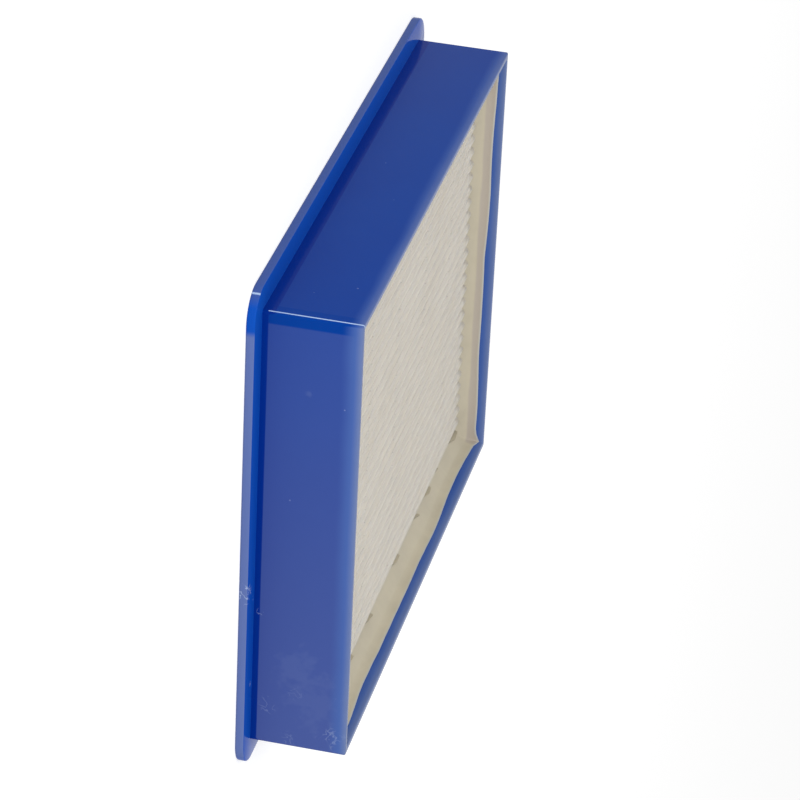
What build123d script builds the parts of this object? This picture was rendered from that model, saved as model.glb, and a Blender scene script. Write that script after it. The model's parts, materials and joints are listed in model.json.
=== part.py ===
from build123d import *
import math
import os

# Framed pleated air filter, lying on the back of its flange.
# X runs along the long side, Y along the short side, Z from the flange up to the rim.
# The origin is at the middle of the base. All sizes are in millimetres.

# Driving dimensions of the moulded frame
body_length = 142.0
body_width = 110.0
frame_height = 24.0
flange_reach = 5.5
flange_thickness = 2.0
flange_edge_radius = 0.4
flange_back_chamfer = 0.3
wall_corner_radius = 1.6
wall_draft_deg = 0.3
rim_wall = 1.6
rim_chamfer = 0.25
ledge_thickness = 1.6
ledge_under_pack = 4.0

# Driving dimensions of the pleated pack
end_trough = 5.6
least_side_trough = 4.5
tip_depth = 6.0
pleat_pitch = 3.4
media_thickness = 0.45
flank_lean_deg = 0.8

# Driving dimensions of the poured sealant
fill_below_tips = 1.2
contact_depth = 2.2
climb_height = 2.0
climb_foot = 0.5
climb_lip = 0.15
climb_radius = 1.6
slope_reach = 5.0

# Driving dimensions of the hot-melt separator lines
separator_count = 4
separator_pitch = 26.2
separator_first = 27.8
bead_width = 1.6
bead_crown = 0.6
bead_foot_gap = 0.8

# Frame outline worked out from the values above
flange_corner_radius = wall_corner_radius + flange_reach
wall_inset = (frame_height - flange_thickness) * math.tan(math.radians(wall_draft_deg))
pocket_length = body_length - 2 * (wall_inset + rim_wall)
pocket_width = body_width - 2 * (wall_inset + rim_wall)
window_length = pocket_length - 2 * (end_trough + ledge_under_pack)

# Pack worked out from the pocket that holds it
media_length = pocket_length - 2 * end_trough
pleat_count = int((pocket_width - 2 * least_side_trough) / pleat_pitch)
pack_width = pleat_count * pleat_pitch
window_width = pack_width - 2 * ledge_under_pack
tip_z = frame_height - tip_depth
foot_z = ledge_thickness
half_sheet = media_thickness / 2
lean = math.radians(flank_lean_deg)
lean_run = (tip_z - foot_z - media_thickness) * math.tan(lean)
lean_share = math.cos(lean) - math.tan(lean) + math.sin(lean) * math.tan(lean)
fold_radius = (pleat_pitch / 2 - lean_run) / (2 * lean_share)
crest_centre_z = tip_z - half_sheet - fold_radius
root_centre_z = foot_z + half_sheet + fold_radius
fill_z = tip_z - fill_below_tips


def rounded_block(length, width, corner, height):
    """Upright block with rounded corners, standing on the base plane."""
    return extrude(RectangleRounded(length, width, corner), height)


def block_between(length, width, bottom, top):
    """Upright block with sharp corners between two heights."""
    middle = Pos(0, 0, (bottom + top) / 2)
    return middle * Box(length, width, top - bottom)


def edges_at(solid, height):
    """Edges that lie flat at one height."""
    return solid.edges().filter_by_position(Axis.Z, height - 0.001, height + 0.001)


def make_frame():
    """One moulding: drafted walls, clamping flange, and a ledge that carries the pack."""
    flange_length = body_length + 2 * flange_reach
    flange_width = body_width + 2 * flange_reach
    flange = rounded_block(flange_length, flange_width, flange_corner_radius, flange_thickness)
    flange = fillet(edges_at(flange, flange_thickness), flange_edge_radius)
    flange = chamfer(edges_at(flange, 0), flange_back_chamfer)

    wall_foot = Plane.XY.offset(flange_thickness)
    wall_outline = wall_foot * RectangleRounded(body_length, body_width, wall_corner_radius)
    walls = extrude(wall_outline, frame_height - flange_thickness, taper=wall_draft_deg)

    frame = flange + walls
    frame -= block_between(pocket_length, pocket_width, ledge_thickness, frame_height)
    frame -= block_between(window_length, window_width, 0, ledge_thickness)
    return chamfer(edges_at(frame, frame_height), rim_chamfer)


def flank_point(centre_y, centre_z, radius, side):
    """Where a straight flank leaves a fold: side is 1 towards +Y and -1 towards -Y."""
    return (centre_y + side * radius * math.cos(lean), centre_z + radius * math.sin(lean))


def sheet_side(crest_radius, root_radius_here):
    """Edges of one face of the folded sheet, from its -Y end to its +Y end."""
    edges = []
    last_point = None
    for index in range(pleat_count):
        crest_y = -pack_width / 2 + (index + 0.5) * pleat_pitch
        rise = flank_point(crest_y, crest_centre_z, crest_radius, -1)
        fall = flank_point(crest_y, crest_centre_z, crest_radius, 1)
        if last_point is None:
            drop = rise[1] - foot_z
            last_point = (rise[0] - drop * math.tan(lean), foot_z)
        edges.append(Edge.make_line((0, *last_point), (0, *rise)))
        top = (0, crest_y, crest_centre_z + crest_radius)
        edges.append(Edge.make_three_point_arc((0, *rise), top, (0, *fall)))
        if index == pleat_count - 1:
            drop = fall[1] - foot_z
            last_point = (fall[0] + drop * math.tan(lean), foot_z)
            edges.append(Edge.make_line((0, *fall), (0, *last_point)))
            continue
        root_y = crest_y + pleat_pitch / 2
        enter = flank_point(root_y, root_centre_z, -root_radius_here, 1)
        leave = flank_point(root_y, root_centre_z, -root_radius_here, -1)
        edges.append(Edge.make_line((0, *fall), (0, *enter)))
        bottom = (0, root_y, root_centre_z - root_radius_here)
        edges.append(Edge.make_three_point_arc((0, *enter), bottom, (0, *leave)))
        last_point = leave
    return edges


def make_media_pack():
    """One sheet of filter paper folded to and fro, with both outer flanks reaching the ledge."""
    front = sheet_side(fold_radius + half_sheet, fold_radius - half_sheet)
    back = sheet_side(fold_radius - half_sheet, fold_radius + half_sheet)
    ends = [
        Edge.make_line(front[0].position_at(0), back[0].position_at(0)),
        Edge.make_line(front[-1].position_at(1), back[-1].position_at(1)),
    ]
    section = Face(Wire(front + back + ends))
    return Pos(-media_length / 2, 0, 0) * extrude(section, media_length, dir=(1, 0, 0))


def make_meniscus():
    """The sealant above its fill level: it slopes up to the wall and climbs it in a thin film."""
    wall_y = pocket_width / 2
    contact_z = frame_height - contact_depth
    crease_z = contact_z - climb_height
    section_points = [
        (0, wall_y, fill_z),
        (0, wall_y, contact_z),
        (0, wall_y - climb_lip, contact_z),
        (0, wall_y - climb_foot, crease_z),
        (0, wall_y - slope_reach, fill_z),
    ]
    section = make_face(Polyline(*section_points, close=True))
    crease = section.vertices().sort_by_distance((0, wall_y - climb_foot, crease_z))[0]
    section = fillet(crease, climb_radius)
    path = Rectangle(pocket_length, pocket_width).wire()
    path = path.moved(Pos(0, 0, fill_z))
    return sweep(section, path=path, transition=Transition.RIGHT)


def pack_envelope():
    """The space between the sheet's two outer flanks, up to the sealant's fill level."""
    outer_radius = fold_radius + half_sheet
    last_crest_y = (pack_width - pleat_pitch) / 2
    flank_y, flank_z = flank_point(last_crest_y, crest_centre_z, outer_radius, 1)
    top_y = flank_y + (flank_z - fill_z) * math.tan(lean)
    foot_y = flank_y + (flank_z - foot_z) * math.tan(lean)
    corners = [(0, -foot_y, foot_z), (0, foot_y, foot_z), (0, top_y, fill_z), (0, -top_y, fill_z)]
    section = make_face(Polyline(*corners, close=True))
    return Pos(-media_length / 2, 0, 0) * extrude(section, media_length, dir=(1, 0, 0))


def make_sealant():
    """One pour that fills the trough round the pack and meets its outer flanks and pleat ends."""
    pour = block_between(pocket_length, pocket_width, foot_z, fill_z)
    return pour - pack_envelope() + make_meniscus()


def bead_section(centre_y, upwards):
    """One bead across the gap between two flanks, open side up or down."""
    gap_radius = fold_radius - half_sheet
    deep_z = root_centre_z - gap_radius * math.sin(lean) + bead_foot_gap
    open_z = crest_centre_z + (fold_radius + half_sheet) * math.sin(lean)
    deep_half = gap_radius * math.cos(lean) + bead_foot_gap * math.tan(lean)
    open_half = pleat_pitch / 2 - (fold_radius + half_sheet) * math.cos(lean)
    mid_z = (tip_z + foot_z) / 2
    flip = 1 if upwards else -1

    def point(side, half, z):
        return (0, centre_y + side * half, mid_z + flip * (z - mid_z))

    corners = [
        point(-1, deep_half, deep_z),
        point(1, deep_half, deep_z),
        point(1, open_half, open_z),
        point(0, 0, open_z + bead_crown),
        point(-1, open_half, open_z),
    ]
    return make_face(Polyline(*corners, close=True))


def make_separator_line(line_x, upwards):
    """One hot-melt line: a bead in every gap on one face of the pack."""
    gap_count = pleat_count - 1 if upwards else pleat_count
    first_y = -pack_width / 2 + (pleat_pitch if upwards else pleat_pitch / 2)
    beads = []
    for index in range(gap_count):
        section = bead_section(first_y + index * pleat_pitch, upwards)
        bead = extrude(section, bead_width, dir=(1, 0, 0))
        beads.append(Pos(line_x - bead_width / 2, 0, 0) * bead)
    return Compound(children=beads)


def save(shape, node):
    """Write one sub-part under its node name."""
    export_step(shape, os.path.join("parts", node + ".step"))
    print(node, "solids", len(shape.solids()), "volume", round(shape.volume, 2))


os.makedirs("parts", exist_ok=True)
save(make_frame(), "frame")
save(make_media_pack(), "media_pack")
save(make_sealant(), "edge_sealant")
for number in range(separator_count):
    separator_x = -media_length / 2 + separator_first + number * separator_pitch
    save(make_separator_line(separator_x, True), "front_separator_" + str(number + 1))
    save(make_separator_line(separator_x, False), "back_separator_" + str(number + 1))
print("pleats", pleat_count, "fold radius", round(fold_radius, 3))
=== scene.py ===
# %% [markdown]
# Framed pleated air filter
#
# The object is a small air-filter panel: a glossy blue moulded frame, a pack of folded filter
# paper, a cream sealant poured round the pack, and lines of hot melt that keep the folds apart.
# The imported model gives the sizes. This file dresses it, one piece at a time.

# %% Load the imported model
import json
import math

import bmesh
import bpy
from mathutils import Matrix, Vector, noise

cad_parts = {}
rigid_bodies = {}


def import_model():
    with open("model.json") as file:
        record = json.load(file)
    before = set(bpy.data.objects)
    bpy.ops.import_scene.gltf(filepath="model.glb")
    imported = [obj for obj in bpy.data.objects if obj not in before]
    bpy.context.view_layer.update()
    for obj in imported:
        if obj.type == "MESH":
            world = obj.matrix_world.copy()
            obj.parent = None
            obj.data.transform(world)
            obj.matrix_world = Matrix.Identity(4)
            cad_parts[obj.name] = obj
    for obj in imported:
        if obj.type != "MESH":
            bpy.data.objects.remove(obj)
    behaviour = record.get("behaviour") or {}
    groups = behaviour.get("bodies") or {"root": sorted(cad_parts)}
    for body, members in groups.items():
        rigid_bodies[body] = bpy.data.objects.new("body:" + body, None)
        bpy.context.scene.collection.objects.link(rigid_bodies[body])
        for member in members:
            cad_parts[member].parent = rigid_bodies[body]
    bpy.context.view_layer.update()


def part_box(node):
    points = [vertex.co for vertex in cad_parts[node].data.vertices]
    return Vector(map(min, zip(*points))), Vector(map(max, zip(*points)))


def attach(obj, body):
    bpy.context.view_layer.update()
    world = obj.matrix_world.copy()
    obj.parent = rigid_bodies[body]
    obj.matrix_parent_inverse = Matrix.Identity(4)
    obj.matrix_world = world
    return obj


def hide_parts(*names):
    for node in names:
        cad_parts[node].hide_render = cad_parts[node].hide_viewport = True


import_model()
MM = 0.001

# %% [markdown]
# Every length below is in metres, as Blender counts. Writing 5.6 * MM keeps the numbers in the
# millimetres that a moulder would use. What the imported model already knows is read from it, so the
# dressed pieces sit where the solids sit. The fold tips are the exception: they stand a little
# higher here, where the photo has them.

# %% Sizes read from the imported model
frame_low, frame_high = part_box("frame")
pack_low, pack_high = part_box("media_pack")
seal_low, seal_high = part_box("edge_sealant")

FLANGE_LENGTH = frame_high.x - frame_low.x
FLANGE_WIDTH = frame_high.y - frame_low.y
RIM_Z = frame_high.z
LEDGE_Z = pack_low.z
TIP_LIFT = 0.6 * MM
TIP_Z = pack_high.z + TIP_LIFT
POCKET_LENGTH = seal_high.x - seal_low.x
POCKET_WIDTH = seal_high.y - seal_low.y
PACK_LENGTH = pack_high.x - pack_low.x
PACK_WIDTH = pack_high.y - pack_low.y
CONTACT_Z = seal_high.z

# %% Sizes of the moulding
FLANGE_REACH = 5.5 * MM
FLANGE_THICKNESS = 2.0 * MM
WALL_CORNER = 0.8 * MM
FLANGE_CORNER = 7.1 * MM
EDGE_ROUND = 0.3 * MM
RIM_ROUND = 0.35 * MM
LEDGE_UNDER_PACK = 4.0 * MM
CORNER_STEPS = 10
BODY_LENGTH = FLANGE_LENGTH - 2 * FLANGE_REACH
BODY_WIDTH = FLANGE_WIDTH - 2 * FLANGE_REACH

# %% [markdown]
# A few small helpers make the pieces. One turns a finished bmesh into an object, with its place in
# its mesh and its normals pointing outwards. One makes a rounded rectangle of edges: a single
# square face whose four corners are bevelled, and whose face is then dropped. The last two bridge
# such rings into one skin, and list the rings that follow a rounded edge.

# %% Helpers that make pieces


def finish_piece(bm, name, smooth_angle=math.radians(35)):
    """Turn a bmesh into a linked object with outward normals and shading smooth below an angle."""
    bmesh.ops.recalc_face_normals(bm, faces=bm.faces)
    for face in bm.faces:
        face.smooth = True
    for edge in bm.edges:
        if len(edge.link_faces) == 2 and edge.calc_face_angle() > smooth_angle:
            edge.smooth = False
    mesh = bpy.data.meshes.new(name)
    bm.to_mesh(mesh)
    bm.free()
    piece = bpy.data.objects.new(name, mesh)
    bpy.context.scene.collection.objects.link(piece)
    print(name, "faces", len(mesh.polygons))
    return piece


def rounded_loop(bm, length, width, corner, height):
    """Add a flat ring of edges, a rectangle with round corners, and return its edges."""
    made = bmesh.ops.create_grid(bm, x_segments=1, y_segments=1, size=0.5)
    verts = made["verts"]
    bmesh.ops.scale(bm, vec=(length, width, 1), verts=verts)
    bmesh.ops.translate(bm, vec=(0, 0, height), verts=verts)
    rounded = bmesh.ops.bevel(
        bm,
        geom=verts,
        offset=corner,
        offset_type="OFFSET",
        segments=CORNER_STEPS,
        profile=0.5,
        affect="VERTICES",
        material=-1,
    )
    face = rounded["verts"][0].link_faces[0]
    edges = list(face.edges)
    bmesh.ops.delete(bm, geom=[face], context="FACES_ONLY")
    return edges


def skin_over(bm, section):
    """Bridge each bend of a closed section to the next, and weld the strips into one skin."""
    for bend, following in zip(section, section[1:] + section[:1]):
        strip = rounded_loop(bm, *bend) + rounded_loop(bm, *following)
        bmesh.ops.bridge_loops(bm, edges=strip)
    bmesh.ops.remove_doubles(bm, verts=bm.verts, dist=0.001 * MM)


ROUND_ANGLES = [math.radians(angle) for angle in (0, 30, 60, 90)]


def rounded_edge(length, width, corner, height, radius, angles, face_up=1, grows=-1):
    """Bends of a rounded edge between an upright face and a level one at the given height.

    An outer edge shrinks towards the level face, and the edge of a hole grows.
    """
    bends = []
    for angle in angles:
        change = grows * radius * (1 - math.cos(angle))
        drop = face_up * radius * (1 - math.sin(angle))
        bends.append((length + 2 * change, width + 2 * change, corner + change, height - drop))
    return bends


# %% [markdown]
# The real frame is one injection moulding. Its section is the same all the way round, so the mesh
# is made like a skin over ribs: one rounded ring of edges at each bend of the section, bridged in
# turn, and closed from the last ring back to the first. Each rounded edge is a few rings that
# follow a quarter circle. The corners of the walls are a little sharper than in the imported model,
# as the photo shows them.

# %% Blue frame
window_length = PACK_LENGTH - 2 * LEDGE_UNDER_PACK
window_width = PACK_WIDTH - 2 * LEDGE_UNDER_PACK
SHARP_CORNER = 0.3 * MM

round_back = list(reversed(ROUND_ANGLES))

section = [(window_length, window_width, SHARP_CORNER, 0)]
section += rounded_edge(
    FLANGE_LENGTH, FLANGE_WIDTH, FLANGE_CORNER, 0, EDGE_ROUND, round_back, face_up=-1
)
section += rounded_edge(
    FLANGE_LENGTH, FLANGE_WIDTH, FLANGE_CORNER, FLANGE_THICKNESS, EDGE_ROUND, ROUND_ANGLES
)
section.append((BODY_LENGTH, BODY_WIDTH, WALL_CORNER, FLANGE_THICKNESS))
section += rounded_edge(BODY_LENGTH, BODY_WIDTH, WALL_CORNER, RIM_Z, RIM_ROUND, ROUND_ANGLES)
section += rounded_edge(
    POCKET_LENGTH, POCKET_WIDTH, SHARP_CORNER, RIM_Z, EDGE_ROUND, round_back, grows=1
)
section.append((POCKET_LENGTH, POCKET_WIDTH, SHARP_CORNER, LEDGE_Z))
section.append((window_length, window_width, SHARP_CORNER, LEDGE_Z))
bm = bmesh.new()
skin_over(bm, section)
shell = finish_piece(bm, "frame_shell")
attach(shell, "root")
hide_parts("frame")

# %% [markdown]
# The filter paper is one sheet folded to and fro. One pleat is drawn with two spins of a single
# vertex, one round the crest and one round the root, joined by straight flanks. The pleat is
# repeated across the pack, and the whole line is then extruded along the folds in short steps, so
# that the sheet can be given the small unevenness of a real one. The pitch is a little wider than
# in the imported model, and the count that fits comes to one pleat fewer, so the outermost folds end
# about a millimetre short of the sealant.

# %% Pleat sizes
SHEET = 0.45 * MM
LEAN = math.radians(0.8)
PITCH = 3.44 * MM
pleat_count = round(PACK_WIDTH / PITCH)
fold_radius = (PITCH / 2 - (TIP_Z - LEDGE_Z - SHEET) * math.tan(LEAN)) / 2
crest_z = TIP_Z - SHEET / 2 - fold_radius
root_z = LEDGE_Z + SHEET / 2 + fold_radius
first_crest_y = -(pleat_count - 1) * PITCH / 2
print("pleats", pleat_count, "fold radius in mm", round(fold_radius / MM, 3))

# %% Folded filter paper
FOLD_STEPS = 10
FLANK_CUTS = 3
LENGTH_STEPS = 56
PAPER_WANDER = 0.10 * MM
PAPER_LIFT = 0.06 * MM


def smooth_noise(point, waves_x, waves_y, layer):
    """Smooth noise from about -1 to 1, with its own waves to the metre along X and along Y."""
    return noise.noise(Vector((point.x * waves_x, point.y * waves_y, layer)))


def spin_fold(bm, start, centre, angle):
    """Spin one vertex about a fold's centre and return the last vertex of the arc."""
    arc = bmesh.ops.spin(
        bm, geom=[start], cent=centre, axis=(1, 0, 0), angle=angle, steps=FOLD_STEPS, use_merge=False
    )
    return [item for item in arc["geom_last"] if isinstance(item, bmesh.types.BMVert)][0]


def run_flank(bm, start, end):
    """Extrude one vertex in a few short steps to the end of a straight flank."""
    step = (end - start.co) / (FLANK_CUTS + 1)
    for _ in range(FLANK_CUTS + 1):
        made = bmesh.ops.extrude_vert_indiv(bm, verts=[start])
        start = made["verts"][0]
        bmesh.ops.translate(bm, vec=step, verts=[start])
    return start


def unevenness(point):
    """How far the paper wanders at a point: across the pack and up or down, most near the folds."""
    height = (point.z - LEDGE_Z) / (TIP_Z - LEDGE_Z)
    near_fold = abs(height - 0.5) * 2
    sideways = PAPER_WANDER * smooth_noise(point, 45, 120, 3.7) * near_fold
    lift = PAPER_LIFT * smooth_noise(point, 60, 290, 1.3) * near_fold
    return Vector((0, sideways, lift))


bm = bmesh.new()
x_start = pack_low.x
lean_turn = math.pi - 2 * LEAN
offset_y = fold_radius * math.cos(LEAN)
offset_z = fold_radius * math.sin(LEAN)
foot_run = (crest_z - LEDGE_Z) * math.tan(LEAN)
line_start = Vector((x_start, first_crest_y - offset_y - foot_run, LEDGE_Z))
point = bmesh.ops.create_vert(bm, co=line_start)["vert"][0]
for number in range(pleat_count):
    crest_y = first_crest_y + number * PITCH
    rise_end = Vector((x_start, crest_y - offset_y, crest_z + offset_z))
    point = run_flank(bm, point, rise_end)
    point = spin_fold(bm, point, (x_start, crest_y, crest_z), -lean_turn)
    if number == pleat_count - 1:
        line_end = Vector((x_start, -line_start.y, LEDGE_Z))
        run_flank(bm, point, line_end)
        continue
    root_y = crest_y + PITCH / 2
    fall_end = Vector((x_start, root_y - offset_y, root_z - offset_z))
    point = run_flank(bm, point, fall_end)
    point = spin_fold(bm, point, (x_start, root_y, root_z), lean_turn)

line = list(bm.edges)
step = PACK_LENGTH / LENGTH_STEPS
for _ in range(LENGTH_STEPS):
    made = bmesh.ops.extrude_edge_only(bm, edges=line)
    moved = [item for item in made["geom"] if isinstance(item, bmesh.types.BMVert)]
    line = [item for item in made["geom"] if isinstance(item, bmesh.types.BMEdge)]
    bmesh.ops.translate(bm, vec=(step, 0, 0), verts=moved)
for vert in bm.verts:
    vert.co += unevenness(vert.co)
paper = finish_piece(bm, "filter_paper", smooth_angle=math.radians(60))
thickness = paper.modifiers.new("paper thickness", "SOLIDIFY")
thickness.thickness = SHEET
thickness.offset = 0
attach(paper, "root")
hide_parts("media_pack")

# %% [markdown]
# The sealant was poured round the pack as a liquid. It lies a little under the pleat tips, slopes
# up towards the wall and climbs it in a thin film. Its surface is again a skin over rings, but
# here the straight sides are cut into short stretches, so the height can wander as a pour does.
# Beside the pack its edge is pushed inwards and up in a few places, as where it was smeared.

# %% Poured sealant
FILL_BELOW_TIPS = 1.8 * MM
CLIMB_HEIGHT = 2.0 * MM
FILL_Z = TIP_Z - FILL_BELOW_TIPS
CREASE_Z = CONTACT_Z - CLIMB_HEIGHT
LONG_SIDE = 20 * MM
SIDE_CUTS = 60
SLOW_WANDER = 0.75 * MM
POOL_LUMPS = 0.30 * MM
FILM_LUMPS = 0.08 * MM
CORNER_CLIMB = 1.1 * MM
CORNER_CLIMB_REACH = 4 * MM
POUR_TILT = 0.016
SMEAR_INWARD = 3.4 * MM
SMEAR_RISE = 2.3 * MM
SMEAR_STEEPNESS = 5
LEAST_SMEAR = 0.02
FLANK_MARGIN = 0.5 * MM

# Each ring: how far it stands in from the wall, its height and the radius of its corners.
pour_rings = [
    (0, CONTACT_Z, SHARP_CORNER),
    (0.15 * MM, CONTACT_Z, SHARP_CORNER),
    (0.25 * MM, CONTACT_Z - 0.8 * MM, SHARP_CORNER),
    (0.45 * MM, CREASE_Z, SHARP_CORNER),
    (0.85 * MM, CREASE_Z - 0.65 * MM, 0.6 * MM),
    (1.7 * MM, CREASE_Z - 1.35 * MM, 1.0 * MM),
    (3.3 * MM, CREASE_Z - 2.35 * MM, 0.8 * MM),
    (5.0 * MM, FILL_Z, SHARP_CORNER),
]


def pour_wander(point):
    """Height of the pour above or below its mean level at a point."""
    slow = SLOW_WANDER * smooth_noise(point, 48, 48, 5.2)
    lump_height = POOL_LUMPS if point.z < CREASE_Z - MM else FILM_LUMPS
    lumps = lump_height * smooth_noise(point, 210, 210, 9.4)
    from_corner = max(POCKET_LENGTH / 2 - abs(point.x), POCKET_WIDTH / 2 - abs(point.y))
    climb = max(0, 1 - from_corner / CORNER_CLIMB_REACH) ** 2
    return slow + lumps + CORNER_CLIMB * climb + POUR_TILT * max(point.y, 0)


bm = bmesh.new()
section = [
    (POCKET_LENGTH - 2 * inward, POCKET_WIDTH - 2 * inward, corner, height)
    for inward, height, corner in pour_rings
]
section.append((PACK_LENGTH, PACK_WIDTH, SHARP_CORNER, FILL_Z))
section.append((PACK_LENGTH, PACK_WIDTH, SHARP_CORNER, LEDGE_Z))
section.append((POCKET_LENGTH, POCKET_WIDTH, SHARP_CORNER, LEDGE_Z))
skin_over(bm, section)
long_edges = [
    edge
    for edge in bm.edges
    if edge.calc_length() > LONG_SIDE and abs(edge.verts[0].co.z - edge.verts[1].co.z) < MM
]
bmesh.ops.subdivide_edges(bm, edges=long_edges, cuts=SIDE_CUTS, use_grid_fill=True)
for vert in bm.verts:
    if vert.co.z < LEDGE_Z + MM:
        continue
    from_flank = abs(abs(vert.co.y) - PACK_WIDTH / 2)
    vert.co.z += pour_wander(vert.co)
    if from_flank < FLANK_MARGIN and abs(vert.co.x) < PACK_LENGTH / 2 + MM:
        smear = max(0, smooth_noise(vert.co, 170, 9, 2.0) - LEAST_SMEAR)
        vert.co.y -= math.copysign(SMEAR_INWARD * smear, vert.co.y)
        vert.co.z += SMEAR_RISE * min(smear * SMEAR_STEEPNESS, 1)
pour = finish_piece(bm, "poured_sealant", smooth_angle=math.radians(50))
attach(pour, "root")
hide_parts("edge_sealant")

# %% [markdown]
# The hot melt was laid on the flat sheet in lines before it was folded. Folding brings the lines
# together, and each gap between two pleats then holds a small domed bead. One bead is a sphere of a
# few faces, stretched to fill its gap, and a row of them makes a line.

# %% Hot-melt separator beads
BEAD_WIDTH = 1.6 * MM
BEAD_RISE = 0.7 * MM
BEAD_SQUEEZE = 1.12
SEPARATOR_LINES = 4
GAP_HALF = PITCH / 2 - fold_radius - SHEET / 2


def bead_line(line_x, upwards):
    """Beads in every gap on one face of the pack, as one bmesh."""
    bm = bmesh.new()
    count = pleat_count - 1 if upwards else pleat_count
    start_y = first_crest_y + (PITCH / 2 if upwards else 0)
    open_z = crest_z if upwards else root_z
    deep_z = root_z if upwards else crest_z
    reach = abs(open_z - deep_z) / 2
    for number in range(count):
        made = bmesh.ops.create_uvsphere(bm, u_segments=10, v_segments=8, radius=1)
        verts = made["verts"]
        size = (BEAD_WIDTH / 2, GAP_HALF * BEAD_SQUEEZE, reach + BEAD_RISE / 2)
        bmesh.ops.scale(bm, vec=size, verts=verts)
        middle = (open_z + deep_z) / 2 + (BEAD_RISE / 2 if upwards else -BEAD_RISE / 2)
        bmesh.ops.translate(bm, vec=(line_x, start_y + number * PITCH, middle), verts=verts)
    return bm


for side, upwards in (("front", True), ("back", False)):
    for number in range(1, SEPARATOR_LINES + 1):
        node = side + "_separator_" + str(number)
        line_low, line_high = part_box(node)
        line_x = (line_low.x + line_high.x) / 2
        beads = finish_piece(bead_line(line_x, upwards), side + "_bead_line_" + str(number))
        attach(beads, "root")
        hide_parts(node)

# %% [markdown]
# Now the finishes. Each one is worked out from object coordinates, so it stays on its piece from
# every side. A few short helpers lay the nodes, and two node groups hold the effects that more
# than one finish needs.

# %% Helpers for shader nodes


def new_material(name):
    """A material with a fresh Principled shader: the material, its node tree and the shader."""
    material = bpy.data.materials.new(name)
    material.use_nodes = True
    tree = material.node_tree
    return material, tree, tree.nodes["Principled BSDF"]


def plug(tree, value, socket):
    """Link a node's output to a socket, or set the socket to a plain number or vector."""
    if isinstance(value, bpy.types.NodeSocket):
        tree.links.new(value, socket)
    else:
        socket.default_value = value


def calculate(tree, operation, *values):
    """A Math node on numbers or on outputs of other nodes."""
    node = tree.nodes.new("ShaderNodeMath")
    node.operation = operation
    for value, socket in zip(values, node.inputs):
        plug(tree, value, socket)
    return node.outputs[0]


def step_between(tree, value, start, end):
    """A smooth step, 0 where a value is at its start and 1 where it is at its end."""
    node = tree.nodes.new("ShaderNodeMapRange")
    node.interpolation_type = "SMOOTHSTEP"
    plug(tree, value, node.inputs["Value"])
    plug(tree, start, node.inputs["From Min"])
    plug(tree, end, node.inputs["From Max"])
    return node.outputs["Result"]


def all_of(tree, first, *others):
    """Multiply masks, so only what lies in all of them is left."""
    for other in others:
        first = calculate(tree, "MULTIPLY", first, other)
    return first


def lay_colour(tree, mask, under, over):
    """Lay one colour over another by a mask. A colour is three numbers or another node's output."""
    node = tree.nodes.new("ShaderNodeMix")
    node.data_type = "RGBA"
    plug(tree, mask, node.inputs[0])
    for colour, socket in ((under, node.inputs[6]), (over, node.inputs[7])):
        plug(tree, colour if isinstance(colour, bpy.types.NodeSocket) else (*colour, 1), socket)
    return node.outputs[2]


def object_place(tree):
    """Object coordinates, whole and split into X, Y and Z."""
    coordinates = tree.nodes.new("ShaderNodeTexCoord")
    split = tree.nodes.new("ShaderNodeSeparateXYZ")
    tree.links.new(coordinates.outputs["Object"], split.inputs[0])
    return coordinates.outputs["Object"], *split.outputs


def dress(tree, shader, colour, roughness, height, strength, depth):
    """Plug colour, roughness and a bump made from a height into the shader.

    The roughness is a mask with the values that it spreads between, smoothest and roughest.
    """
    plug(tree, colour, shader.inputs["Base Color"])
    rough_mask, smoothest, roughest = roughness
    spread = tree.nodes.new("ShaderNodeMapRange")
    plug(tree, rough_mask, spread.inputs["Value"])
    spread.inputs["To Min"].default_value = smoothest
    spread.inputs["To Max"].default_value = roughest
    plug(tree, spread.outputs["Result"], shader.inputs["Roughness"])
    bump = tree.nodes.new("ShaderNodeBump")
    bump.inputs["Strength"].default_value = strength
    bump.inputs["Distance"].default_value = depth
    plug(tree, height, bump.inputs["Height"])
    plug(tree, bump.outputs["Normal"], shader.inputs["Normal"])


# %% [markdown]
# No surface is perfectly even, so every finish uses the first group: broad blotches for colour and
# gloss, and fine grain for the bump. The second group marks what lies above a height, with an edge
# that wanders. It serves the painted glow near the rim of the frame and the thin film of sealant on
# the wall.

# %% Shared node groups
BLOTCH_SPREAD = (0.25, 0.75)
EDGE_WANDER_SCALE = 70


def new_group(name, taken, given):
    """An empty node group with its input and output sockets."""
    group = bpy.data.node_groups.new(name, "ShaderNodeTree")
    for socket in taken:
        kind = "NodeSocketVector" if socket == "Vector" else "NodeSocketFloat"
        group.interface.new_socket(name=socket, in_out="INPUT", socket_type=kind)
    for socket in given:
        group.interface.new_socket(name=socket, in_out="OUTPUT", socket_type="NodeSocketFloat")
    return group, group.nodes.new("NodeGroupInput"), group.nodes.new("NodeGroupOutput")


def noise_at(tree, place, scale, detail):
    """A noise texture from 0 to 1."""
    texture = tree.nodes.new("ShaderNodeTexNoise")
    plug(tree, place, texture.inputs["Vector"])
    plug(tree, scale, texture.inputs["Scale"])
    texture.inputs["Detail"].default_value = detail
    return texture.outputs[0]


unevenness_group, taken, given = new_group(
    "surface_unevenness", ("Vector", "Blotch Scale", "Grain Scale"), ("Blotch", "Grain")
)
blotch_noise = noise_at(unevenness_group, taken.outputs["Vector"], taken.outputs["Blotch Scale"], 3)
grain_noise = noise_at(unevenness_group, taken.outputs["Vector"], taken.outputs["Grain Scale"], 4)
blotches = step_between(unevenness_group, blotch_noise, *BLOTCH_SPREAD)
plug(unevenness_group, blotches, given.inputs["Blotch"])
plug(unevenness_group, grain_noise, given.inputs["Grain"])

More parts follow.
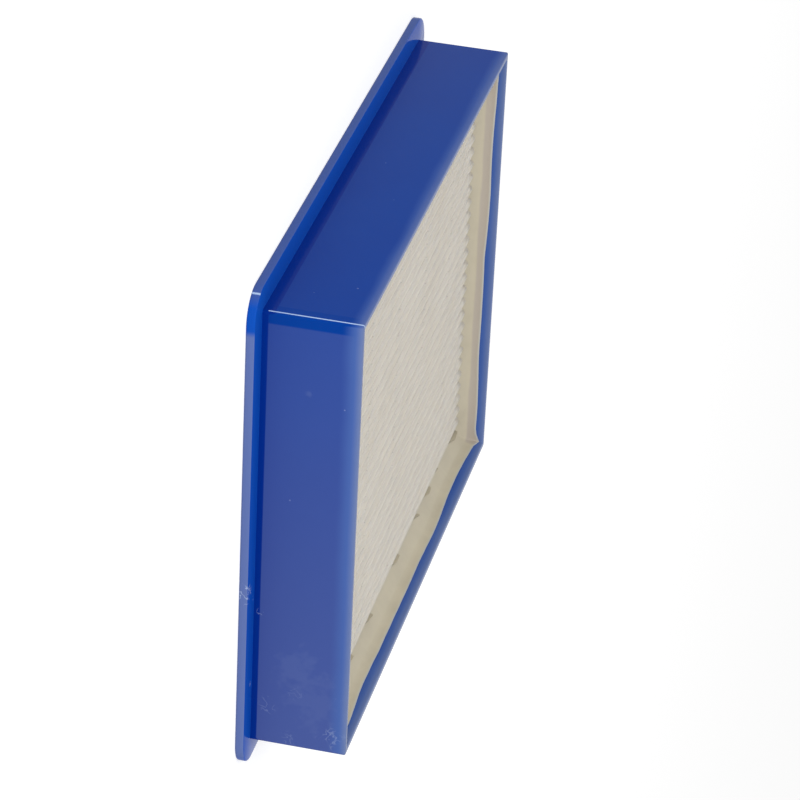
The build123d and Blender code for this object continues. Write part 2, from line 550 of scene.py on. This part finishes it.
height_group, taken, given = new_group(
    "above_wandering_height", ("Vector", "Start", "End", "Wander"), ("Mask",)
)
split = height_group.nodes.new("ShaderNodeSeparateXYZ")
plug(height_group, taken.outputs["Vector"], split.inputs[0])
wander = noise_at(height_group, taken.outputs["Vector"], EDGE_WANDER_SCALE, 2)
wander = calculate(height_group, "SUBTRACT", wander, 0.5)
height = calculate(height_group, "MULTIPLY_ADD", wander, taken.outputs["Wander"], split.outputs["Z"])
mask = step_between(height_group, height, taken.outputs["Start"], taken.outputs["End"])
plug(height_group, mask, given.inputs["Mask"])


def use_group(tree, group, **values):
    """Add a node group to a material. Underscores in the names stand for spaces."""
    node = tree.nodes.new("ShaderNodeGroup")
    node.node_tree = group
    for name, value in values.items():
        plug(tree, value, node.inputs[name.replace("_", " ")])
    return node.outputs


# %% [markdown]
# The frame is glossy blue plastic that lets a little light through. Where the wall stands free of
# the sealant, near the rim, light would shine into it from inside, and there it is painted pale as a
# painted glow. The outer edge of the flange carries a painted glow in the same way. The front of the
# flange is painted lighter as a painted sheen. The walls above the foot carry a painted reflection
# of the pale floor, the long ones least. The foot of the wall is painted deep blue as a painted
# reflection of the flange, and the near corner is left deep blue as a painted dark reflection.
# The places are in the frame's own millimetres, and each pair is where a mask starts and where it
# is full.

# %% Blue plastic: body colour
DEEP_BLUE = (0.0005, 0.040, 0.282)
FRESH_BLUE = (0.001, 0.047, 0.302)
FOOT_REFLECTION_BLUE = (0.0005, 0.026, 0.245)
FRONT_SHEEN_BLUE = (0.005, 0.078, 0.460)
FLOOR_SHEEN_BLUE = (0.072, 0.106, 0.318)
WALL_GLOW_BLUE = (0.066, 0.130, 0.390)
RIM_GLOW_BLUE = (0.140, 0.195, 0.390)
LONG_EDGE_GLOW_BLUE = (0.055, 0.105, 0.345)
END_EDGE_GLOW_BLUE = (0.118, 0.172, 0.410)
LONG_WALL_SHEEN = 0.10

FACE_MARGIN = 0.05 * MM
LONG_WALL_Y = (54.2 * MM, 54.6 * MM)
END_WALL_X = (70.3 * MM, 70.6 * MM)
FOOT_TOP = 3.45 * MM
FOOT_RISE_ON_LONG_WALL = 1.35 * MM
FOOT_SOFTNESS = 0.12 * MM
SHEEN_MIDDLE = 0.64
SHEEN_PER_METRE = -4.2
CORNER_X = (-67.9 * MM, -68.4 * MM)
CORNER_Y = (51.9 * MM, 52.4 * MM)
GLOW_START = 19.4 * MM
GLOW_RISE_ON_LONG_WALL = 1.5 * MM
GLOW_END = 23.2 * MM
RIM_GLOW_START = 22.3 * MM
RIM_GLOW_END = 24.2 * MM
LONG_WALL_SHADE = 0.5
LONG_EDGE_Y = (57.3 * MM, 60.2 * MM)
END_EDGE_X = (74.3 * MM, 76.2 * MM)
EDGE_TURN_X = (-74.0 * MM, -74.9 * MM)
EDGE_TURN_Y = (51.0 * MM, 52.8 * MM)

# %% Blue plastic: colours laid by place
blue, tree, shader = new_material("frame_blue")
shader.inputs["Specular IOR Level"].default_value = 0.03
place, x, y, z = object_place(tree)
uneven = use_group(tree, unevenness_group, Vector=place, Blotch_Scale=22, Grain_Scale=260)
colour = lay_colour(tree, uneven["Blotch"], DEEP_BLUE, FRESH_BLUE)

from_middle_x = calculate(tree, "ABSOLUTE", x)
from_middle_y = calculate(tree, "ABSOLUTE", y)
on_front = calculate(tree, "LESS_THAN", z, FLANGE_THICKNESS + FACE_MARGIN)
# Painted sheen: the front face of the flange is painted a lighter blue.
colour = lay_colour(tree, on_front, colour, FRONT_SHEEN_BLUE)
# Painted reflection: the foot of each wall is painted a darker blue where the flange would mirror in
# the gloss, higher on the long walls.
long_wall = step_between(tree, from_middle_y, *LONG_WALL_Y)
foot_height = calculate(tree, "MULTIPLY_ADD", long_wall, FOOT_RISE_ON_LONG_WALL, FOOT_TOP)
over_foot = calculate(tree, "SUBTRACT", z, foot_height)
below = step_between(tree, over_foot, FOOT_SOFTNESS, -FOOT_SOFTNESS)
at_foot = all_of(tree, below, calculate(tree, "SUBTRACT", 1, on_front))
colour = lay_colour(tree, at_foot, colour, FOOT_REFLECTION_BLUE)

# Painted reflection: the walls above the foot are painted paler, as the pale floor would mirror in
# them. It is strongest on the end walls and fades towards +Y, is faint on the long walls, and is
# left out at the near corner, which stays a painted dark reflection.
end_wall = step_between(tree, from_middle_x, *END_WALL_X)
above_foot = calculate(tree, "SUBTRACT", 1, below)
along_wall = calculate(tree, "MULTIPLY_ADD", y, SHEEN_PER_METRE, SHEEN_MIDDLE)
at_corner = all_of(tree, step_between(tree, x, *CORNER_X), step_between(tree, y, *CORNER_Y))
off_corner = calculate(tree, "SUBTRACT", 1, at_corner)
on_walls = calculate(
    tree, "MAXIMUM", all_of(tree, end_wall, along_wall), all_of(tree, long_wall, LONG_WALL_SHEEN)
)
floor_sheen = all_of(tree, on_walls, above_foot, off_corner)
colour = lay_colour(tree, floor_sheen, colour, FLOOR_SHEEN_BLUE)

# Painted glow: near the rim the walls and the rim face are painted paler, as light through the
# plastic would show, and less on the long walls.
glow_start = calculate(tree, "MULTIPLY_ADD", long_wall, GLOW_RISE_ON_LONG_WALL, GLOW_START)
wall_glow = use_group(
    tree, height_group, Vector=place, Start=glow_start, End=GLOW_END, Wander=1.2 * MM
)["Mask"]
rim_glow = use_group(
    tree, height_group, Vector=place, Start=RIM_GLOW_START, End=RIM_GLOW_END, Wander=0.5 * MM
)["Mask"]
shaded = calculate(tree, "MULTIPLY_ADD", long_wall, -LONG_WALL_SHADE, 1)
colour = lay_colour(tree, all_of(tree, wall_glow, shaded), colour, WALL_GLOW_BLUE)
colour = lay_colour(tree, all_of(tree, rim_glow, shaded), colour, RIM_GLOW_BLUE)

# Painted glow on the outer edge of the flange. It is paler on the end edges than on the long ones
# and is left out on the end edge where it turns at the near corner.
long_edge = step_between(tree, from_middle_y, *LONG_EDGE_Y)
end_edge = step_between(tree, from_middle_x, *END_EDGE_X)
on_edge = calculate(tree, "LESS_THAN", z, FLANGE_THICKNESS - FACE_MARGIN)
edge_turn = all_of(tree, step_between(tree, x, *EDGE_TURN_X), step_between(tree, y, *EDGE_TURN_Y))
off_turn = calculate(tree, "SUBTRACT", 1, edge_turn)
colour = lay_colour(tree, all_of(tree, long_edge, on_edge), colour, LONG_EDGE_GLOW_BLUE)
colour = lay_colour(tree, all_of(tree, end_edge, on_edge, off_turn), colour, END_EDGE_GLOW_BLUE)

# %% [markdown]
# Wear and a painted highlight: the near corner of the wall and of the flange carries one thin light
# line, which is a painted highlight. There are also a few scratches, rubbed places and specks. Each
# is a small ball of influence round a point on the surface. A scratched place is filled with the
# contour lines of a noise texture, and a rubbed place or a speck is plain.

# %% Blue plastic: painted highlight and wear
PAINTED_HIGHLIGHT_BLUE = (0.42, 0.55, 0.80)
SCUFFED = (0.34, 0.42, 0.62)

WALL_RIDGE = -15.6 * MM
FLANGE_RIDGE = -12.9 * MM
RIDGE_HALF = 0.15 * MM
RIDGE_FADE = 1.6
RIDGE_CORE = 0.5
NEAR_CORNER = (122.0 * MM, 124.0 * MM)
RIDGE_FOOT = 3.3 * MM


def ridge_line(tree, x, y, ridge, half):
    """A thin upright line on a round corner, where X + Y has one value."""
    across = calculate(tree, "SUBTRACT", calculate(tree, "ADD", x, y), ridge)
    away = calculate(tree, "ABSOLUTE", across)
    line = step_between(tree, away, half * RIDGE_FADE, half * RIDGE_CORE)
    at_near_corner = step_between(tree, calculate(tree, "SUBTRACT", y, x), *NEAR_CORNER)
    return all_of(tree, line, at_near_corner)


# Painted highlight: a thin light line down the near corner of the wall and of the flange.
on_wall = calculate(tree, "GREATER_THAN", z, RIDGE_FOOT)
wall_highlight = all_of(tree, ridge_line(tree, x, y, WALL_RIDGE, RIDGE_HALF), on_wall)
flange_highlight = all_of(tree, ridge_line(tree, x, y, FLANGE_RIDGE, RIDGE_HALF * 2), on_edge)
colour = lay_colour(tree, calculate(tree, "MAXIMUM", wall_highlight, flange_highlight), colour, PAINTED_HIGHLIGHT_BLUE)

# Each row: X, Y and Z of the middle and the reach, in millimetres, and how strong the mark is.
SCRATCHED_PLACES = (
    (-76.5, -12.6, 0.8, 3.6, 1.0),
    (-71.7, -16.6, 2.0, 0.9, 0.6),
    (-72.2, -39.1, 2.0, 0.7, 0.6),
    (-71.0, -20.4, 3.6, 1.0, 0.4),
    (-70.8, -40.4, 12.0, 2.2, 0.16),
    (-70.9, -44.9, 5.2, 2.4, 0.2),
    (-70.6, -39.6, 21.5, 1.8, 0.2),
    (-70.6, -50.4, 20.5, 2.8, 0.3),
    (-70.8, -53.1, 10.5, 2.2, 0.2),
)
RUBBED_PLACES = (
    (-70.9, -34.6, 12.5, 7.0, 0.045),
    (-70.9, -42.0, 16.0, 8.0, 0.035),
    (-70.9, 36.5, 12.8, 1.1, 0.07),
    (-70.9, 34.0, 20.7, 0.28, 0.5),
    (-70.9, 9.5, 9.4, 0.25, 0.3),
    (-60.1, 54.9, 10.4, 0.30, 0.3),
    (-55.4, 54.9, 18.8, 0.28, 0.3),
    (4.0, 54.9, 10.2, 0.28, 0.3),
    (-13.1, 54.9, 16.3, 0.28, 0.3),
)

RAGGED_SCALE = 330
RAGGED_REACH = 2.5
FULL_SHARE = 0.25
raggedness = calculate(tree, "SUBTRACT", noise_at(tree, place, RAGGED_SCALE, 2), 0.5)


def near_place(tree, place, row):
    """A soft ball of influence round a place, as strong as the row says."""
    distance = tree.nodes.new("ShaderNodeVectorMath")
    distance.operation = "DISTANCE"
    plug(tree, place, distance.inputs[0])
    distance.inputs[1].default_value = Vector(row[:3]) * MM
    reach, strength = row[3] * MM, row[4]
    spread = reach * RAGGED_REACH
    ragged = calculate(tree, "MULTIPLY_ADD", raggedness, spread, distance.outputs["Value"])
    ball = step_between(tree, ragged, reach, reach * FULL_SHARE)
    return calculate(tree, "MULTIPLY", ball, strength)


def strongest(tree, masks):
    """The highest of many masks at each point."""
    result = masks[0]
    for mask in masks[1:]:
        result = calculate(tree, "MAXIMUM", result, mask)
    return result


SCRATCH_SCALE = 520
SCRATCH_WIDTH = 0.035
contour = noise_at(tree, place, SCRATCH_SCALE, 2)
contour = calculate(tree, "ABSOLUTE", calculate(tree, "SUBTRACT", contour, 0.5))
lines = step_between(tree, contour, SCRATCH_WIDTH, SCRATCH_WIDTH / 4)
scratched = strongest(tree, [near_place(tree, place, row) for row in SCRATCHED_PLACES])
scratches = all_of(tree, lines, scratched)
rubs = strongest(tree, [near_place(tree, place, row) for row in RUBBED_PLACES])
wear = calculate(tree, "MAXIMUM", scratches, rubs)
colour = lay_colour(tree, wear, colour, SCUFFED)

WEAR_DULLING = 2.0
dulling = calculate(tree, "MULTIPLY_ADD", wear, WEAR_DULLING, uneven["Blotch"])
rough = (dulling, 0.10, 0.17)
dress(tree, shader, colour, rough, uneven["Grain"], strength=0.04, depth=0.1 * MM)
shell.data.materials.append(blue)

# %% [markdown]
# Glass-fibre filter paper is soft white with a warm tint. It scatters light inside, so the folds
# show far less than the same folds in card would. Subsurface scattering does that here, and the
# flanks are painted lighter than the fold tips, as painted light that fills the shade between the
# folds.

# %% Filter paper
DARKER_PAPER = (0.59, 0.535, 0.455)
FRESH_PAPER = (0.62, 0.565, 0.485)
LIT_FLANK_PAPER = (0.89, 0.825, 0.735)
TIP_START = 0.05 * MM
TIP_END = 1.15 * MM

white, tree, shader = new_material("paper_white")
shader.inputs["Subsurface Weight"].default_value = 0.9
shader.inputs["Subsurface Radius"].default_value = (1.0, 0.9, 0.75)
shader.inputs["Subsurface Scale"].default_value = 2.4 * MM
shader.inputs["Specular IOR Level"].default_value = 0.2
place, _, _, z = object_place(tree)
uneven = use_group(tree, unevenness_group, Vector=place, Blotch_Scale=55, Grain_Scale=1900)
colour = lay_colour(tree, uneven["Blotch"], DARKER_PAPER, FRESH_PAPER)
middle_z = (LEDGE_Z + TIP_Z) / 2
half_depth = (TIP_Z - LEDGE_Z) / 2
# Painted light: away from the fold tips the flanks are painted lighter, to fill the shade between
# the folds.
from_middle = calculate(tree, "ABSOLUTE", calculate(tree, "SUBTRACT", z, middle_z))
lit_flank = step_between(tree, from_middle, half_depth - TIP_START, half_depth - TIP_END)
colour = lay_colour(tree, lit_flank, colour, LIT_FLANK_PAPER)
rough = (uneven["Blotch"], 0.82, 0.95)
dress(tree, shader, colour, rough, uneven["Grain"], strength=0.25, depth=0.12 * MM)
paper.data.materials.append(white)

# %% [markdown]
# The sealant is a cream polyurethane, satin and slightly lumpy. Its thin film on the end walls looks
# greyer, as the wall shows through, and its lip is pale where it touches the walls. Along the outer
# pleats it carries a painted shade, darker in blotches.

# %% Sealant
CREAM = (0.515, 0.466, 0.353)
LIGHT_CREAM = (0.57, 0.518, 0.396)
FILM_GREY = (0.44, 0.390, 0.330)
CONTACT_PALE = (0.52, 0.52, 0.48)
SHADED_CREAM = (0.485, 0.438, 0.330)
SHADE_REACH = 2.6 * MM
SHADE_FULL = 0.3 * MM
FILM_SOFTNESS = 0.3 * MM
END_FILM_X = (66.5 * MM, 68.0 * MM)
LIP_INNER = 0.22 * MM
LIP_OUTER = 0.16 * MM

cream, tree, shader = new_material("sealant_cream")
shader.inputs["Specular IOR Level"].default_value = 0.3
place, x, y, _ = object_place(tree)
uneven = use_group(tree, unevenness_group, Vector=place, Blotch_Scale=130, Grain_Scale=620)
colour = lay_colour(tree, uneven["Blotch"], CREAM, LIGHT_CREAM)
from_middle_x = calculate(tree, "ABSOLUTE", x)
from_middle_y = calculate(tree, "ABSOLUTE", y)
pack_edge = PACK_WIDTH / 2
# Painted shade: beside the pack the cream is painted darker in blotches.
beside_pack = step_between(tree, from_middle_y, pack_edge + SHADE_REACH, pack_edge + SHADE_FULL)
colour = lay_colour(tree, all_of(tree, beside_pack, uneven["Blotch"]), colour, SHADED_CREAM)
film = use_group(
    tree,
    height_group,
    Vector=place,
    Start=CREASE_Z - FILM_SOFTNESS,
    End=CREASE_Z + FILM_SOFTNESS,
    Wander=0.8 * MM,
)["Mask"]
at_end = step_between(tree, from_middle_x, *END_FILM_X)
colour = lay_colour(tree, all_of(tree, film, at_end), colour, FILM_GREY)
pocket_end = POCKET_LENGTH / 2
pocket_side = POCKET_WIDTH / 2
lip_x = step_between(tree, from_middle_x, pocket_end - LIP_INNER, pocket_end - LIP_OUTER)
lip_y = step_between(tree, from_middle_y, pocket_side - LIP_INNER, pocket_side - LIP_OUTER)
contact = calculate(tree, "MAXIMUM", lip_x, lip_y)
colour = lay_colour(tree, contact, colour, CONTACT_PALE)
rough = (uneven["Blotch"], 0.38, 0.55)
dress(tree, shader, colour, rough, uneven["Grain"], strength=0.3, depth=0.25 * MM)
pour.data.materials.append(cream)

# %% [markdown]
# Hot melt sets to a waxy plastic that lets a little light in, near in colour to the paper. One
# material with a weak scattering serves the beads of all the lines.

# %% Hot melt
MELT = (0.56, 0.52, 0.455)
LIGHT_MELT = (0.62, 0.58, 0.52)

melt, tree, shader = new_material("hot_melt")
shader.inputs["Subsurface Weight"].default_value = 0.3
shader.inputs["Subsurface Scale"].default_value = 0.8 * MM
place, *_ = object_place(tree)
uneven = use_group(tree, unevenness_group, Vector=place, Blotch_Scale=400, Grain_Scale=1500)
colour = lay_colour(tree, uneven["Blotch"], MELT, LIGHT_MELT)
rough = (uneven["Blotch"], 0.40, 0.55)
dress(tree, shader, colour, rough, uneven["Grain"], strength=0.15, depth=0.08 * MM)
for piece in bpy.data.objects:
    if "_bead_line_" in piece.name:
        piece.data.materials.append(melt)

# %% [markdown]
# The studio is a wide pale floor under a white sky, lit by three soft boxes. The camera, glossy and
# glass rays see the sky as pure white and a glow on the floor that lifts it to white too, and the
# shadow stays on the floor.

# %% Floor
FLOOR_HALF = 6
FLOOR_GLOW = 0.45
floor_mesh = bpy.data.meshes.new("studio_floor")
bm = bmesh.new()
bmesh.ops.create_grid(bm, x_segments=1, y_segments=1, size=FLOOR_HALF)
bm.to_mesh(floor_mesh)
bm.free()
floor = bpy.data.objects.new("studio_floor", floor_mesh)
bpy.context.scene.collection.objects.link(floor)


def seen_plainly(tree):
    """1 for rays that show the background itself: camera, glossy and transmission rays."""
    path = tree.nodes.new("ShaderNodeLightPath")
    seen = calculate(tree, "MAXIMUM", path.outputs["Is Camera Ray"], path.outputs["Is Glossy Ray"])
    return calculate(tree, "MAXIMUM", seen, path.outputs["Is Transmission Ray"])


FLOOR_WHITE = (0.8, 0.8, 0.8, 1)
floor_paint, tree, shader = new_material("studio_white")
tree.nodes.remove(shader)
catch = tree.nodes.new("ShaderNodeBsdfDiffuse")
catch.inputs["Color"].default_value = FLOOR_WHITE
glow = tree.nodes.new("ShaderNodeEmission")
plug(tree, calculate(tree, "MULTIPLY", seen_plainly(tree), FLOOR_GLOW), glow.inputs["Strength"])
both = tree.nodes.new("ShaderNodeAddShader")
plug(tree, catch.outputs[0], both.inputs[0])
plug(tree, glow.outputs[0], both.inputs[1])
plug(tree, both.outputs[0], tree.nodes["Material Output"].inputs["Surface"])
floor.data.materials.append(floor_paint)

# %% Sky
SKY_LIGHT = 0.62
world = bpy.data.worlds.new("studio")
bpy.context.scene.world = world
world.use_nodes = True
tree = world.node_tree
background = tree.nodes["Background"]
background.inputs["Color"].default_value = (1, 1, 1, 1)
sky = calculate(tree, "MULTIPLY_ADD", seen_plainly(tree), 1 - SKY_LIGHT, SKY_LIGHT)
plug(tree, sky, background.inputs["Strength"])

# %% Soft boxes


def soft_lamp(name, place, target, size, power):
    """A square soft box that points at a target."""
    data = bpy.data.lights.new(name, "AREA")
    data.shape = "SQUARE"
    data.size = size
    data.energy = power
    lamp = bpy.data.objects.new(name, data)
    bpy.context.scene.collection.objects.link(lamp)
    place = Vector(place)
    turn = (Vector(target) - place).to_track_quat("-Z", "Y").to_matrix().to_4x4()
    lamp.matrix_world = Matrix.Translation(place) @ turn


PANEL_MIDDLE = (0, 0, 0.01)
soft_lamp("key_light", (-0.5, 0.9, 0.9), PANEL_MIDDLE, size=0.8, power=3.2)
soft_lamp("front_light", (-0.85, 0.50, 0.36), PANEL_MIDDLE, size=0.5, power=3.6)
soft_lamp("fill_light", (-0.9, -0.6, 0.5), PANEL_MIDDLE, size=0.8, power=1.6)

# %% [markdown]
# The photo shows the panel standing upright. Here it lies on its flange, as it comes to rest, and
# the camera is rolled over instead, so the picture is the same.

# %% Camera
CAMERA_PLACE = Vector((-760.6, 449.1, 182.5)) * MM
CAMERA_RIGHT = Vector((0.2366, 0.0430, 0.9706))
CAMERA_AHEAD = Vector((0.8447, -0.5027, -0.1837))
SENSOR = 36.0
FOCAL_PIXELS = 3878.2
IMAGE_PIXELS = 800

camera_data = bpy.data.cameras.new("camera")
camera_data.sensor_width = SENSOR
camera_data.lens = FOCAL_PIXELS * SENSOR / IMAGE_PIXELS
camera = bpy.data.objects.new("camera", camera_data)
bpy.context.scene.collection.objects.link(camera)
right = CAMERA_RIGHT.normalized()
back = -CAMERA_AHEAD.normalized()
up = back.cross(right).normalized()
right = up.cross(back).normalized()
turn = Matrix((right, up, back)).transposed().to_4x4()
camera.matrix_world = Matrix.Translation(CAMERA_PLACE) @ turn
bpy.context.scene.camera = camera

# %% View settings
bpy.context.scene.view_settings.view_transform = "Standard"
